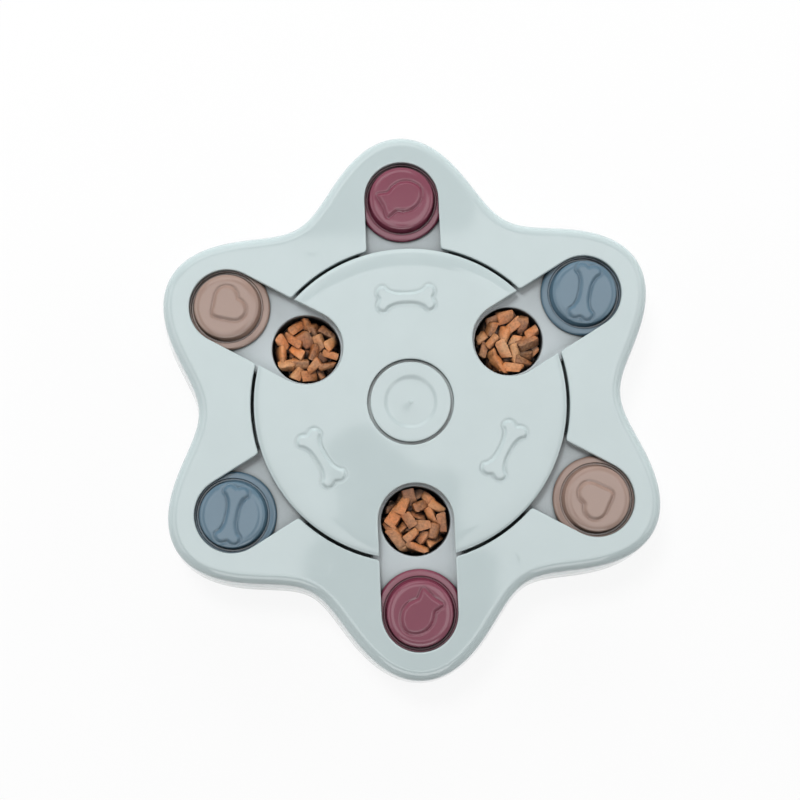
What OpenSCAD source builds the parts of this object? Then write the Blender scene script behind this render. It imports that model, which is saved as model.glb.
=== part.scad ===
// Dog puzzle feeder: a six-lobed moulded toy with a turning disc and six sliding knobs over treat cups.
// Origin at the middle of the footprint, on the ground. +Z up. One lobe points along +Y.

/* [Cover] */
// How far each lobe of the outline stands out from its mean radius
lobe_rise = 13.8; // [12:0.2:15]
// Height of the cover's flat top above the ground
shell_h = 28.5; // [27:0.5:34]
// Radius of the rounded shoulder round the cover's top
shoulder_r = 5; // [4:0.5:6]
// Draft of the outer wall, in degrees
wall_draft = 8.4; // [3:0.2:9]
// Thickness of the cover's top plate and wall
cover_t = 2.5; // [2:0.1:2.8]
// Gap between the ground and the cover's lower edge
skirt_lift = 2; // [1.5:0.1:3]
// Gap all round between the turntable and the cover's round opening
disc_gap = 1.4; // [1:0.1:1.8]
// Width of land between the outer end of a slot and the outline
slot_rim = 12.6; // [12:0.2:15]
// Width of the six slots, and of the turntable's notches
slot_w = 33.4; // [32.6:0.2:34.4]
// Diameter of the screw posts under the cover
post_d = 7.2; // [6.6:0.2:8]
// Distance of the screw posts from the waist of the outline
post_inset = 12; // [11:0.5:14]

/* [Tray] */
// Thickness of the deck
deck_t = 2.2; // [1.8:0.1:2.6]
// How far a treat cup's mouth lies inside the side of its slot
cup_inset = 1.3; // [0.7:0.1:2.2]
// Draft of the cup's wall, as the difference of radius from mouth to floor
cup_taper = 0.8; // [0.4:0.1:1.2]
// Thickness of a cup's wall
cup_wall = 1.8; // [1.4:0.1:2.2]
// Thickness of a cup's floor
cup_floor_t = 2; // [1.6:0.1:2.6]
// Rounding of a cup's mouth
cup_lip = 0.8; // [0.4:0.1:1]
// Width of a rail beside a slider's flange
rail_t = 1.4; // [1:0.1:1.8]
// Width of the ribs under the deck
rib_t = 1.6; // [1.2:0.1:2]
// Depth of the ribs under the deck
rib_h = 7; // [4:0.5:9]
// Wall of the sockets that take the cover's posts
socket_wall = 1.8; // [1.4:0.1:2.4]
// Thickness of the socket's floor, which the screw clamps
socket_floor_t = 2; // [1.6:0.1:2.6]
// Height of the socket's floor above the ground
socket_floor_z = 8.5; // [7.5:0.5:10]

/* [Turntable] */
// Width of the turntable between the recess round the cap and a notch
disc_web = 16.7; // [15.5:0.2:18.5]
// Gap between the turntable's edge and a knob in its outer place
disc_to_knob = 8.1; // [7.1:0.1:9.4]
// Height of the turntable's crown above the cover's top
disc_crown = 1.2; // [0.8:0.1:1.6]
// Width of the soft slope round the turntable's edge
disc_slope_w = 9; // [6:0.5:10]
// Height of the turntable's edge above the cover's top
disc_edge_h = 0.2; // [0:0.1:0.6]
// Thickness of the turntable's top
disc_t = 2.4; // [2:0.1:2.6]
// Width of the walls under the turntable
disc_wall = 2.2; // [1.6:0.1:2.8]
// Thickness of the inner lip that the hub cap holds down
lip_t = 1.5; // [1.2:0.1:1.8]
// Width of a bone figure's ends
bone_end_w = 11.4; // [10:0.2:13]
// Length of the bones on the turntable
disc_bone_l = 26; // [22:0.2:28]
// Distance from the turntable's edge to the middle of its bones
disc_bone_inset = 22.8; // [20:0.2:26]
// Height of the raised figures
figure_h = 0.8; // [0.4:0.1:1]

/* [Hub] */
// How far the hub cap reaches over the turntable's lip
cap_lap = 2.8; // [2:0.1:3]
// Gap all round between the hub cap and the turntable's top
cap_gap = 1.3; // [0.6:0.1:1.5]
// Thickness of the hub cap
cap_t = 2.2; // [1.8:0.1:2.6]
// Radius of the hub post that the turntable turns on
hub_r = 15; // [14.4:0.1:15.4]
// Wall of the hub post
hub_wall = 2; // [1.6:0.1:2.4]
// Width of the ring that carries the turntable
thrust_w = 4; // [3:0.2:5]
// Diameter of the cap's stem
stem_d = 10; // [9:0.2:11]
// Thickness of the web across the hub, which the screw clamps
web_t = 2.5; // [2:0.1:3]
// Depth of the web's underside below the hub cap
web_depth = 13.6; // [12.6:0.2:15.4]
// Diameter of the shallow dish in the cap
dish_d = 22.5; // [18:0.5:25]
// Depth of the dish
dish_h = 0.5; // [0.3:0.1:0.8]

/* [Sliders] */
// Travel of a knob from its outer place to its inner place
knob_travel = 40; // [38.5:0.5:41]
// Gap between a knob's root and the side of its slot
knob_gap = 1.6; // [1.2:0.1:1.8]
// How much wider the knob is at its root, on the radius
knob_taper = 0.7; // [0.2:0.1:0.8]
// Height of a knob's top above the cover's top
knob_proud = 0.8; // [0.4:0.1:1.2]
// How far a slider's flange reaches under the side of its slot
flange_lap = 2.4; // [2:0.1:2.8]
// Thickness of the flange
flange_t = 1.8; // [1.4:0.1:1.9]
// Thickness of the knob's wall and top
knob_wall = 1.6; // [1.4:0.1:2]
// Rounding of the knob's top edge
knob_round = 1.2; // [0.6:0.1:1.6]
// Land between the ends of a bone and the knob's rounded edge
figure_inset = 0.7; // [0.5:0.1:1.6]

/* [Feet and screws] */
// Diameter of a rubber foot
foot_d = 20; // [16:0.5:22]
// Height of a rubber foot
foot_h = 4; // [3.5:0.1:5]
// Depth of the seat that a foot is glued in
foot_seat = 1; // [0.6:0.1:1.4]
// Chamfer round a foot
foot_chamfer = 0.6; // [0.3:0.1:1]
// Diameter of the screws' shanks
screw_d = 2.9; // [2.5:0.1:3.2]
// Length of a cover screw under its head
cover_screw_l = 12; // [9:0.5:13]
// Length of the hub screw under its head
hub_screw_l = 11; // [9:0.5:12]
// Diameter of the screws' heads
screw_head_d = 5.6; // [5:0.1:6]
// Height of the screws' heads
screw_head_h = 2; // [1.6:0.1:2.4]
// Diameter of the washer
washer_d = 9; // [8:0.2:10]
// Thickness of the washer
washer_t = 0.8; // [0.6:0.1:1]

/* [Hidden] */

// Counts and angles
lobes = 6;
notches = 3;
lobe_step = 360 / lobes;
first_lobe = 90;
first_notch = 30;
outline_steps = 180;
shoulder_steps = 5;
$fn = 96;

// Clearances and overruns
overrun = 1;
deck_fit = 0.4;
running_gap = 0.3;
bearing_gap = 0.05;
bore_gap = 0.06;
post_fit = 0.2;
foot_fit = 0.15;
screw_fit = 0.2;
rail_fit = 0.4;
rail_gap = 0.7;
flange_gap = 0.6;
under_gap = 0.4;

// Sizes of the figures on the knobs, as shares of the bones' length
knob_bone_w_share = 0.44;
heart_w_share = 0.66;
fish_l_share = 0.64;
fish_w_share = 0.53;
tail_w_share = 0.47;
tail_l_share = 0.25;

// The heart's curve
heart_steps = 24;
blunt_steps = 4;
blunt_share = 0.2;
heart_shift_share = 0.11;

// Small features of the pieces
cap_round = 0.6;
collar_h = 2;
gate_d = 1.8;
gate_h = 0.2;
waist_share = 0.75;
tail_root_share = 0.55;
tail_fork_share = 0.75;
cross_share = 0.62;
cross_t_share = 0.18;
cross_depth_share = 0.55;
point_share = 0.2;

// Directions that the figures on the knobs point in, seen from above
fish_rear_turn = 22;
bone_rear_right_turn = 76;
heart_front_right_turn = 198;
fish_front_turn = 229;
bone_front_left_turn = 80;
heart_rear_left_turn = 31;

// Levels
deck_z = shell_h - cover_t - flange_gap - flange_t - running_gap;
rail_top_z = shell_h - cover_t - rail_gap;
flange_z = deck_z + running_gap;
flange_top_z = flange_z + flange_t;
disc_z = flange_top_z + under_gap;
disc_top_z = shell_h + disc_crown;
disc_edge_z = shell_h + disc_edge_h;
lip_top_z = disc_z + lip_t;
cap_z = lip_top_z + running_gap;
cap_top_z = cap_z + cap_t;
thrust_z = disc_z - bearing_gap;
web_z = cap_z - web_depth;
tray_bottom_z = foot_h - foot_seat;
cup_floor_z = foot_h + cup_floor_t;
post_end_z = socket_floor_z + socket_floor_t;
stem_end_z = web_z + web_t;
knob_top_z = shell_h + knob_proud;

// Plan
slot_r = slot_w / 2;
cup_r = slot_r - cup_inset;
knob_root_r = slot_r - knob_gap;
knob_r = knob_root_r - knob_taper;
flange_r = slot_r + flange_lap;
cap_r = hub_r + cap_lap;
recess_r = cap_r + cap_gap;
thrust_r = hub_r + thrust_w;
inner_station_r = recess_r + disc_web + slot_r;
outer_station_r = inner_station_r + knob_travel;
shell_mean_r = outer_station_r + slot_r + slot_rim - lobe_rise;
disc_r = outer_station_r - knob_root_r - disc_to_knob;
disc_bone_r = disc_r - disc_bone_inset;
cover_hole_r = disc_r + disc_gap;
post_ring_r = shell_mean_r - lobe_rise - post_inset;
socket_r = post_d / 2 + post_fit;
rail_r = flange_r + rail_fit;
bore_r = hub_r + bore_gap;
pilot_d = screw_d + screw_fit / 2;
screw_hole_d = screw_d + 2 * screw_fit;
ring_rib_r = (inner_station_r + outer_station_r) / 2;

// Figures on the knobs
knob_bone_l = 2 * (knob_r - knob_round - figure_inset);
knob_bone_w = knob_bone_l * knob_bone_w_share;
heart_w = knob_bone_l * heart_w_share;
fish_l = knob_bone_l * fish_l_share;
fish_w = knob_bone_l * fish_w_share;
tail_w = knob_bone_l * tail_w_share;
tail_l = knob_bone_l * tail_l_share;

// Colours, as the photograph shows them
shell_colour = [0.80, 0.86, 0.86];
fish_colour = [0.56, 0.34, 0.39];
bone_colour = [0.49, 0.56, 0.62];
heart_colour = [0.68, 0.59, 0.55];
rubber_colour = [0.25, 0.25, 0.26];
steel_colour = [0.72, 0.72, 0.74];

// The lobed outline: a circle with a cosine wave on it, moved outwards along its own normal.
function lobe_radius(a) = shell_mean_r + lobe_rise * cos(lobes * (a - first_lobe));
function lobe_slope(a) = -lobe_rise * lobes * sin(lobes * (a - first_lobe));
function lobe_point(a, out) =
    let (r = lobe_radius(a), s = lobe_slope(a), n = norm([r, s]))
    let (along = r + out * r / n, across = out * s / n)
    [along * cos(a) + across * sin(a), along * sin(a) - across * cos(a)];
function lobe_outline(out) = [for (i = [0:outline_steps - 1]) lobe_point(i * 360 / outline_steps, out)];

// A profile of the cover's side, as pairs of distance outwards and height. inset is 0 for the outer skin.
function shoulder_ring(a, inset) =
    [(shoulder_r - inset) * cos(a) - shoulder_r, shell_h - shoulder_r + (shoulder_r - inset) * sin(a)];
function wall_out(z, inset) =
    let (start = shoulder_ring(wall_draft, inset))
    start[0] + (start[1] - z) * tan(wall_draft);
function side_profile(low_z, inset) = concat(
    [[wall_out(low_z, inset), low_z]],
    [for (k = [0:shoulder_steps]) shoulder_ring(wall_draft + (90 - wall_draft) * k / shoulder_steps, inset)]
);

// A solid with the lobed outline, one ring of points for each pair in the profile.
module lobed_solid(profile) {
    n = outline_steps;
    top = len(profile) - 1;
    points = [for (ring = profile) for (p = lobe_outline(ring[0])) [p[0], p[1], ring[1]]];
    floor_face = [for (i = [0:n - 1]) i];
    roof_face = [for (i = [n - 1:-1:0]) top * n + i];
    side_faces = [
        for (k = [0:top - 1])
            for (i = [0:n - 1])
                let (j = (i + 1) % n)
                [k * n + i, (k + 1) * n + i, (k + 1) * n + j, k * n + j]
    ];
    polyhedron(points = points, faces = concat([floor_face], side_faces, [roof_face]), convexity = 8);
}

// Puts its children at each lobe, or at each waist between two lobes.
module at_lobes(r) {
    for (k = [0:lobes - 1])
        rotate(first_lobe + k * lobe_step) translate([r, 0, 0]) children();
}
module at_waists(r) {
    for (k = [0:lobes - 1])
        rotate(first_lobe + (k + 1 / 2) * lobe_step) translate([r, 0, 0]) children();
}
module at_notches() {
    for (k = [0:notches - 1])
        rotate(first_notch + k * 360 / notches) children();
}

// A long hole with round ends, from one radius to another along X.
module channel(r, from_x, to_x) {
    translate([from_x, 0]) circle(r);
    translate([to_x, 0]) circle(r);
    translate([from_x, -r]) square([to_x - from_x, 2 * r]);
}

// A bone along X: four round ends and a waisted shaft.
module bone_figure(length, width) {
    end_r = width / 4;
    spread = width / 2 - end_r;
    reach = length / 2 - end_r;
    for (x = [-reach, reach])
        for (y = [-spread, spread])
            translate([x, y]) circle(end_r);
    difference() {
        translate([-reach, -spread]) square([2 * reach, 2 * spread]);
        for (side = [-1, 1])
            translate([0, side * (waist_share * spread + shaft_curve_r(reach, spread))])
                circle(shaft_curve_r(reach, spread));
    }
}
// Radius of the arc that runs from the root of one end, through the waist, to the other.
function shaft_curve_r(reach, spread) =
    let (rise = (1 - waist_share) * spread)
    (reach * reach + rise * rise) / (2 * rise);

// A heart with its blunt point along -X: a square on its corner with a round lobe on each far side.
function heart_lobe(side) = [
    for (i = [0:heart_steps])
        let (a = 180 * i / heart_steps - 45)
        side / 2 * [cos(45) + cos(a), cos(45) + sin(a)]
];
function heart_blunt(side) = [
    for (i = [0:blunt_steps])
        let (a = 135 + 45 * i / blunt_steps, r = side * blunt_share)
        [r * cos(a) + (r - side / 2) / cos(45), r * sin(a)]
];
module heart_figure(width) {
    side = width / (1 + cos(45));
    half = concat(heart_lobe(side), heart_blunt(side));
    translate([-heart_shift_share * side, 0])
        polygon(concat(half, [for (i = [len(half) - 2:-1:1]) [half[i][0], -half[i][1]]]));
}

// A plain fish with its head along +X: a lens-shaped body and a two-pointed tail.
module fish_figure() {
    half_l = fish_l / 2;
    half_w = fish_w / 2;
    arc_r = (half_l * half_l + half_w * half_w) / (2 * half_w);
    translate([tail_l / 4, 0]) {
        intersection() {
            translate([0, arc_r - half_w]) circle(arc_r);
            translate([0, half_w - arc_r]) circle(arc_r);
        }
        polygon([
            [-half_l * tail_root_share, 0],
            [-half_l - tail_l / 2, tail_w / 2],
            [-half_l - tail_l / 2 * tail_fork_share, 0],
            [-half_l - tail_l / 2, -tail_w / 2]
        ]);
    }
}

// The lower moulding: a deck with twelve treat cups, rails, sockets and the hub that the turntable turns on.
module cup_outside(low_z) {
    translate([0, 0, low_z])
        cylinder(h = deck_z - low_z, r1 = cup_r + cup_wall - cup_taper, r2 = cup_r + cup_wall);
}
function lip_point(k) =
    let (a = 90 * k / shoulder_steps)
    [cup_r + cup_lip * (1 - cos(a)), deck_z - cup_lip * (1 - sin(a))];
module cup_inside() {
    rotate_extrude() polygon(concat(
        [[0, cup_floor_z], [cup_r - cup_taper, cup_floor_z]],
        [for (k = [0:shoulder_steps]) lip_point(k)],
        [[cup_r + cup_lip, deck_z + overrun], [0, deck_z + overrun]]
    ));
}
module rails() {
    translate([0, 0, deck_z]) linear_extrude(rail_top_z - deck_z) difference() {
        at_lobes(0) channel(rail_r + rail_t, inner_station_r, outer_station_r);
        at_lobes(0) channel(rail_r, inner_station_r, outer_station_r);
    }
}
module deck() {
    deck_out = wall_out(deck_z, cover_t) - deck_fit;
    translate([0, 0, deck_z - deck_t]) linear_extrude(deck_t) polygon(lobe_outline(deck_out));
}
module ribs() {
    translate([0, 0, deck_z - deck_t - rib_h]) {
        at_waists(0) translate([hub_r - hub_wall, -rib_t / 2, 0])
            cube([post_ring_r - socket_r - hub_r + hub_wall, rib_t, rib_h + deck_t / 2]);
        difference() {
            cylinder(h = rib_h + deck_t / 2, r = ring_rib_r + rib_t / 2);
            translate([0, 0, -overrun])
                cylinder(h = rib_h + deck_t + 2 * overrun, r = ring_rib_r - rib_t / 2);
        }
    }
}
module base_tray() color(shell_colour) difference() {
    union() {
        deck();
        rails();
        ribs();
        at_lobes(inner_station_r) cup_outside(cup_floor_z - cup_floor_t);
        at_lobes(outer_station_r) cup_outside(tray_bottom_z);
        at_waists(post_ring_r) translate([0, 0, tray_bottom_z])
            cylinder(h = deck_z - tray_bottom_z, r = socket_r + socket_wall);
        translate([0, 0, tray_bottom_z]) cylinder(h = cap_z - tray_bottom_z, r = hub_r);
        translate([0, 0, deck_z - deck_t]) cylinder(h = thrust_z - deck_z + deck_t, r = thrust_r);
    }
    at_lobes(inner_station_r) cup_inside();
    at_lobes(outer_station_r) {
        cup_inside();
        translate([0, 0, tray_bottom_z - overrun])
            cylinder(h = foot_seat + overrun, r = foot_d / 2 + foot_fit);
    }
    at_waists(post_ring_r) {
        translate([0, 0, post_end_z]) cylinder(h = deck_z - post_end_z + overrun, r = socket_r);
        translate([0, 0, tray_bottom_z - overrun])
            cylinder(h = socket_floor_z - tray_bottom_z + overrun, r = socket_r);
        translate([0, 0, socket_floor_z - overrun])
            cylinder(h = socket_floor_t + 2 * overrun, d = screw_hole_d);
    }
    translate([0, 0, stem_end_z]) cylinder(h = cap_z - stem_end_z + overrun, r = hub_r - hub_wall);
    translate([0, 0, tray_bottom_z - overrun])
        cylinder(h = web_z - tray_bottom_z + overrun, r = hub_r - hub_wall);
    translate([0, 0, web_z - overrun]) cylinder(h = web_t + 2 * overrun, d = screw_hole_d);
}

// The upper moulding: a lobed shell with a round opening, six slots and six screw posts.
module top_cover() color(shell_colour) {
    difference() {
        lobed_solid(side_profile(skirt_lift, 0));
        lobed_solid(side_profile(skirt_lift - overrun, cover_t));
        translate([0, 0, shell_h - cover_t - overrun]) linear_extrude(cover_t + 2 * overrun) {
            circle(cover_hole_r);
            at_lobes(0) channel(slot_r, inner_station_r, outer_station_r);
        }
    }
    at_waists(post_ring_r) difference() {
        translate([0, 0, post_end_z]) cylinder(h = shell_h - cover_t / 2 - post_end_z, d = post_d);
        translate([0, 0, post_end_z - overrun])
            cylinder(h = cover_screw_l + overrun, d = pilot_d);
    }
}

// The turning disc, hollow underneath, with three notches and three raised bones.
function slope_point(k) =
    let (a = 90 * k / shoulder_steps)
    [disc_r - disc_slope_w * (1 - cos(a)), disc_edge_z + (disc_top_z - disc_edge_z) * sin(a)];
module turntable_blank() {
    rotate_extrude() polygon(concat(
        [[bore_r, disc_z], [disc_r, disc_z]],
        [for (k = [0:shoulder_steps]) slope_point(k)],
        [[recess_r, disc_top_z], [recess_r, lip_top_z], [bore_r, lip_top_z]]
    ));
}
module turntable_hollow() {
    translate([0, 0, disc_z - overrun]) linear_extrude(disc_edge_z - disc_t - disc_z + overrun) {
        difference() {
            circle(disc_r - disc_wall);
            circle(recess_r + disc_wall);
            at_notches() channel(slot_r + disc_wall, inner_station_r, disc_r);
            at_notches() translate([-disc_r, -disc_wall / 2]) square([disc_r, disc_wall]);
        }
    }
}
module turntable() color(shell_colour) {
    difference() {
        turntable_blank();
        turntable_hollow();
        translate([0, 0, disc_z - overrun])
            linear_extrude(disc_top_z - disc_z + 2 * overrun)
                at_notches() channel(slot_r, inner_station_r, disc_r + slot_r);
    }
    translate([0, 0, disc_top_z - disc_t / 2]) linear_extrude(disc_t / 2 + figure_h)
        at_notches() translate([-disc_bone_r, 0]) rotate(90) bone_figure(disc_bone_l, bone_end_w);
}

// The fixed cap over the hub: it holds the turntable's lip down and is pulled tight by one screw.
module hub_cap() color(shell_colour) {
    difference() {
        union() {
            translate([0, 0, cap_z]) cylinder(h = cap_t - cap_round, r = cap_r);
            translate([0, 0, cap_top_z - cap_round])
                cylinder(h = cap_round, r1 = cap_r, r2 = cap_r - cap_round);
            translate([0, 0, cap_z - collar_h])
                cylinder(h = collar_h + cap_t / 2, r = hub_r - hub_wall - post_fit);
            translate([0, 0, stem_end_z]) cylinder(h = cap_z - stem_end_z + cap_t / 2, d = stem_d);
        }
        translate([0, 0, cap_top_z - dish_h])
            cylinder(h = dish_h + overrun, r1 = dish_d / 2, r2 = dish_d / 2 + overrun);
        translate([0, 0, cap_z - collar_h - overrun]) difference() {
            cylinder(h = collar_h + overrun, r = hub_r - 2 * hub_wall - post_fit);
            cylinder(h = collar_h + overrun, d = stem_d);
        }
        translate([0, 0, stem_end_z - overrun])
            cylinder(h = hub_screw_l - washer_t - web_t + 2 * overrun, d = pilot_d);
    }
    translate([0, 0, cap_top_z - dish_h - gate_h]) cylinder(h = 2 * gate_h, d = gate_d);
}

// A pan-head self-tapping screw, its head's underside at z = 0 and its shank up.
module screw(length) color(steel_colour) {
    point_l = length * point_share;
    difference() {
        translate([0, 0, -screw_head_h])
            cylinder(h = screw_head_h, d1 = screw_head_d - screw_head_h / 2, d2 = screw_head_d);
        for (a = [0, 90]) rotate(a) translate([
            -screw_head_d * cross_share / 2,
            -screw_head_d * cross_t_share / 2,
            -screw_head_h - overrun
        ])
            cube([
                screw_head_d * cross_share,
                screw_head_d * cross_t_share,
                screw_head_h * cross_depth_share + overrun
            ]);
    }
    translate([0, 0, -screw_head_h / 4]) cylinder(h = length - point_l + screw_head_h / 4, d = screw_d);
    translate([0, 0, length - point_l]) cylinder(h = point_l, d1 = screw_d, d2 = screw_d / 4);
}
module cover_screw(k) {
    rotate(first_lobe + (k + 1 / 2) * lobe_step)
        translate([post_ring_r, 0, socket_floor_z]) screw(cover_screw_l);
}
module hub_screw() translate([0, 0, web_z - washer_t]) screw(hub_screw_l);
module hub_washer() color(steel_colour) translate([0, 0, web_z - washer_t]) difference() {
    cylinder(h = washer_t, d = washer_d);
    translate([0, 0, -overrun]) cylinder(h = washer_t + 2 * overrun, d = screw_hole_d);
}

// A rubber foot, glued in the seat under an outer cup.
module foot(k) color(rubber_colour) rotate(first_lobe + k * lobe_step)
    translate([outer_station_r, 0, 0]) {
        cylinder(h = foot_chamfer, r1 = foot_d / 2 - foot_chamfer, r2 = foot_d / 2);
        translate([0, 0, foot_chamfer]) cylinder(h = foot_h - foot_chamfer, d = foot_d);
    }

// A slider: a hollow round knob on a wide flange, with a raised figure on top.
function knob_edge(k) =
    let (a = 90 * k / shoulder_steps)
    [knob_r - knob_round * (1 - cos(a)), knob_top_z - knob_round * (1 - sin(a))];
module slider_body() {
    rotate_extrude() polygon(concat(
        [
            [knob_root_r - knob_wall, flange_z],
            [flange_r, flange_z],
            [flange_r, flange_top_z - flange_t / 4],
            [flange_r - flange_t / 4, flange_top_z],
            [knob_root_r, flange_top_z]
        ],
        [for (k = [0:shoulder_steps]) knob_edge(k)],
        [[0, knob_top_z], [0, knob_top_z - knob_wall], [knob_r - knob_wall, knob_top_z - knob_wall]]
    ));
}
module slider(lobe, turn) rotate(first_lobe + lobe * lobe_step) translate([outer_station_r, 0, 0]) {
    slider_body();
    translate([0, 0, knob_top_z - knob_wall / 2]) linear_extrude(knob_wall / 2 + figure_h)
        rotate(turn - first_lobe - lobe * lobe_step) children();
}

module slider_fish_rear() color(fish_colour) slider(0, fish_rear_turn) fish_figure();
module slider_heart_rear_left() color(heart_colour) slider(1, heart_rear_left_turn) heart_figure(heart_w);
module slider_bone_front_left() color(bone_colour)
    slider(2, bone_front_left_turn) bone_figure(knob_bone_l, knob_bone_w);
module slider_fish_front() color(fish_colour) slider(3, fish_front_turn) fish_figure();
module slider_heart_front_right() color(heart_colour)
    slider(4, heart_front_right_turn) heart_figure(heart_w);
module slider_bone_rear_right() color(bone_colour)
    slider(5, bone_rear_right_turn) bone_figure(knob_bone_l, knob_bone_w);

base_tray();
top_cover();
turntable();
hub_cap();
hub_screw();
hub_washer();
slider_fish_rear();
slider_bone_rear_right();
slider_heart_front_right();
slider_fish_front();
slider_bone_front_left();
slider_heart_rear_left();
foot(0);  // foot_1
foot(1);  // foot_2
foot(2);  // foot_3
foot(3);  // foot_4
foot(4);  // foot_5
foot(5);  // foot_6
cover_screw(0);  // cover_screw_1
cover_screw(1);  // cover_screw_2
cover_screw(2);  // cover_screw_3
cover_screw(3);  // cover_screw_4
cover_screw(4);  // cover_screw_5
cover_screw(5);  // cover_screw_6
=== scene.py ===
"""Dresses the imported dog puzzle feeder: moulded shells, knobs, kibble, studio light and the camera."""

import logging
import math
import random
from dataclasses import dataclass
from enum import Enum
from typing import Callable, Sequence

import bmesh
import bpy
import numpy as np
from mathutils import Matrix, Vector, noise


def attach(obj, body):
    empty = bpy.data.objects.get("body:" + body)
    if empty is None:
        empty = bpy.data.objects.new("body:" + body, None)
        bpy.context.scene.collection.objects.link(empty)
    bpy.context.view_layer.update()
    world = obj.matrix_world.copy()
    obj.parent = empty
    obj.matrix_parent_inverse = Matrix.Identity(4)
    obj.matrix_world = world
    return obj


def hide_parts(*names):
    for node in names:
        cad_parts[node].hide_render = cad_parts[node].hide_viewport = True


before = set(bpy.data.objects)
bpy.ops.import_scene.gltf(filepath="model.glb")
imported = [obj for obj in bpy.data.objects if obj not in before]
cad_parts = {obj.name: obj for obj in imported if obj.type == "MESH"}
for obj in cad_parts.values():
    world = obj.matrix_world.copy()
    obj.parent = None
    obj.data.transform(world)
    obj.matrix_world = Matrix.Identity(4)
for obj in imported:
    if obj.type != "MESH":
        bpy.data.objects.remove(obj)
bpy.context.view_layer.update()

MM = 0.001
LOBE_DIRECTIONS = (90.0, 150.0, 210.0, 270.0, 330.0, 30.0)
NOTCH_DIRECTIONS = (30.0, 150.0, 270.0)

Pair = tuple[float, float]
Triple = tuple[float, float, float]
Chain = list[bmesh.types.BMVert]
Socket = bpy.types.NodeSocket
Ring = Callable[[float], list[Pair]]
Relief = Callable[[np.ndarray], np.ndarray]

SHADE = "shade"

log = logging.getLogger("feeder")


def linear(colour: Triple) -> tuple[float, float, float, float]:
    """Turns a colour as it shows on a screen, 0 to 255, into the linear one that shaders take."""
    parts = [(c / 255 / 12.92) if c <= 10 else ((c / 255 + 0.055) / 1.055) ** 2.4 for c in colour]
    return (parts[0], parts[1], parts[2], 1.0)


def turned(point: Pair, degrees: float) -> Pair:
    """Turns a point of the plan round the origin, anticlockwise."""
    c, s = math.cos(math.radians(degrees)), math.sin(math.radians(degrees))
    return (point[0] * c - point[1] * s, point[0] * s + point[1] * c)


def quarter(steps: int) -> list[float]:
    """Gives the angles of a quarter turn in a number of steps, in radians."""
    return [math.pi / 2 * k / steps for k in range(steps + 1)]


def corner(middle: Pair, reach: Pair, steps: int) -> list[Pair]:
    """Gives a rounded corner: a quarter ellipse that starts level with its middle."""
    (x, y), (wide, high) = middle, reach
    return [(x + wide * math.cos(a), y + high * math.sin(a)) for a in quarter(steps)]


def arc(middle: Pair, radius: float, start: float, step: float, steps: int) -> list[Pair]:
    """Gives points on a circle, from one direction on in equal steps, in degrees."""
    angles = [math.radians(start + step * k) for k in range(steps + 1)]
    return [(middle[0] + radius * math.cos(a), middle[1] + radius * math.sin(a)) for a in angles]


def between(start: Pair, end: Pair, steps: int) -> list[Pair]:
    """Gives evenly spaced points on the line from a start, which is left out, to an end."""
    (x, y), shares = start, [k / steps for k in range(1, steps + 1)]
    return [(x + (end[0] - x) * share, y + (end[1] - y) * share) for share in shares]


def moved_to(radius: float, direction: float) -> Matrix:
    """Gives the move from the middle to a radius and direction, in degrees."""
    return Matrix.Translation((*turned((radius, 0.0), direction), 0.0))


def linked(name: str, bm: bmesh.types.BMesh, crease: float | None = None) -> bpy.types.Object:
    """Makes an object of a finished mesh and puts it in the scene.

    Args:
        name: The object's name.
        bm: The mesh, in metres, which is freed.
        crease: Edges sharper than this angle, in degrees, stay sharp. Without it all faces stay flat.

    Returns:
        The object.
    """
    mesh = bpy.data.meshes.new(name)
    bm.to_mesh(mesh)
    bm.free()
    if crease is not None:
        mesh.shade_smooth()
        mesh.set_sharp_from_angle(angle=math.radians(crease))
    made = bpy.data.objects.new(name, mesh)
    bpy.context.scene.collection.objects.link(made)
    return made


class Outline:
    """A closed curve in plan, in millimetres, walked anticlockwise."""

    def __init__(self, points: Sequence[Pair]) -> None:
        """Keeps the points as an array."""
        self.points = np.asarray(points, float)

    def resampled(self, step: float) -> "Outline":
        """Spaces the points evenly.

        Args:
            step: The distance between two points.

        Returns:
            The same curve with even points.
        """
        closed = np.vstack([self.points, self.points[:1]])
        along = np.concatenate([[0.0], np.cumsum(np.linalg.norm(np.diff(closed, axis=0), axis=1))])
        count = max(12, int(round(along[-1] / step)))
        at = np.linspace(0.0, along[-1], count, endpoint=False)
        return Outline(np.column_stack([np.interp(at, along, closed[:, k]) for k in (0, 1)]))

    def softened(self, reach: int, passes: int = 2) -> "Outline":
        """Rounds the corners with a moving average.

        Args:
            reach: How many neighbours on each side are averaged.
            passes: How often this is done.

        Returns:
            The softer curve.
        """
        points = self.points
        for _ in range(passes):
            points = sum(np.roll(points, k, axis=0) for k in range(-reach, reach + 1)) / (2 * reach + 1)
        return Outline(points)

    def offset(self, distance: float) -> list[Pair]:
        """Moves the curve outwards along its own normals.

        Args:
            distance: How far, negative for inwards.

        Returns:
            The moved points.
        """
        along = np.roll(self.points, -1, axis=0) - np.roll(self.points, 1, axis=0)
        along /= np.linalg.norm(along, axis=1)[:, None]
        out = self.points + distance * np.column_stack([along[:, 1], -along[:, 0]])
        return [(float(x), float(y)) for x, y in out]

    def turned(self, degrees: float) -> "Outline":
        """Turns the curve round the origin, anticlockwise."""
        return Outline([turned((x, y), degrees) for x, y in self.points])


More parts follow.
